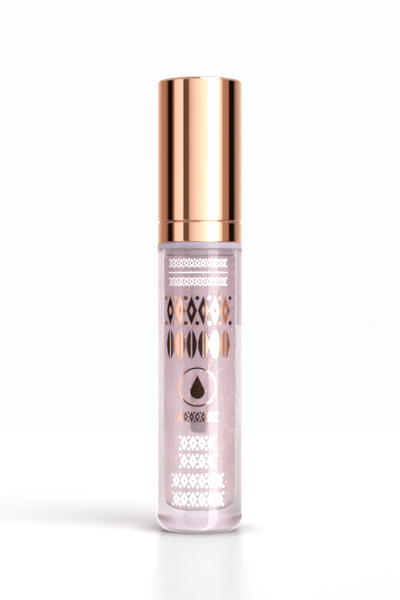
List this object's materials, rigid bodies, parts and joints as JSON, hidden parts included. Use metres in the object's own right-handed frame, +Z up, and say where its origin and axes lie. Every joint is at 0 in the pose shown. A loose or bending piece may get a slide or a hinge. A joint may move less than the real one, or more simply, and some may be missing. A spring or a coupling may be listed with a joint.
{
  "type": "lip gloss tube",
  "caption": "Round clear tube of tinted lip gloss with a rose gold collar and a rose gold screw cap that carries a flocked applicator wand.",
  "frame": {"origin": "centre of the base, on the surface that the tube stands on", "axes": "+Z up along the tube's axis, -Y towards the printed front"},
  "size_m": [0.019, 0.019, 0.0995],
  "materials": {
    "clear_plastic": "clear, polished",
    "neck_plastic": "translucent, polished",
    "rose_gold": "mirror-bright anodised",
    "gloss": "thick translucent liquid with fine metallic flecks",
    "soft_white": "soft, as moulded",
    "foam": "fine closed-cell foam",
    "steel": "turned, dull",
    "inner_white": "as moulded",
    "rod_plastic": "as moulded",
    "tip_rubber": "smooth elastomer",
    "flock": "short fibre flock, wet with gloss"
  },
  "bodies": {
    "bottle": {"bottle_body": "clear_plastic", "neck_piece": "neck_plastic", "wiper": "soft_white", "collar_ring": "rose_gold", "gloss_fill": "gloss"},
    "liner": {"seal_washer": "foam"},
    "weight": {"cap_weight": "steel"},
    "cap": {"cap_shell": "rose_gold", "inner_cap": "inner_white", "applicator_rod": "rod_plastic", "tip_core": "tip_rubber", "tip_flock": "flock"}
  },
  "joints": [
    {"name": "cap_pull", "type": "slide", "parent": "bottle", "child": "liner", "axis": [0, 0, 1], "range_m": [0, 0.078]},
    {"name": "thread_rise", "type": "slide", "parent": "liner", "child": "weight", "axis": [0, 0, 1], "range_m": [0, 0.00375]},
    {"name": "cap_turn", "type": "hinge", "parent": "weight", "child": "cap", "pos_m": [0, 0, 0], "axis": [0, 0, 1], "range_deg": [0, 540]}
  ],
  "couplings": [
    {"joint": "thread_rise", "follows": "cap_turn", "m_per_rad": 0.00039789}
  ]
}
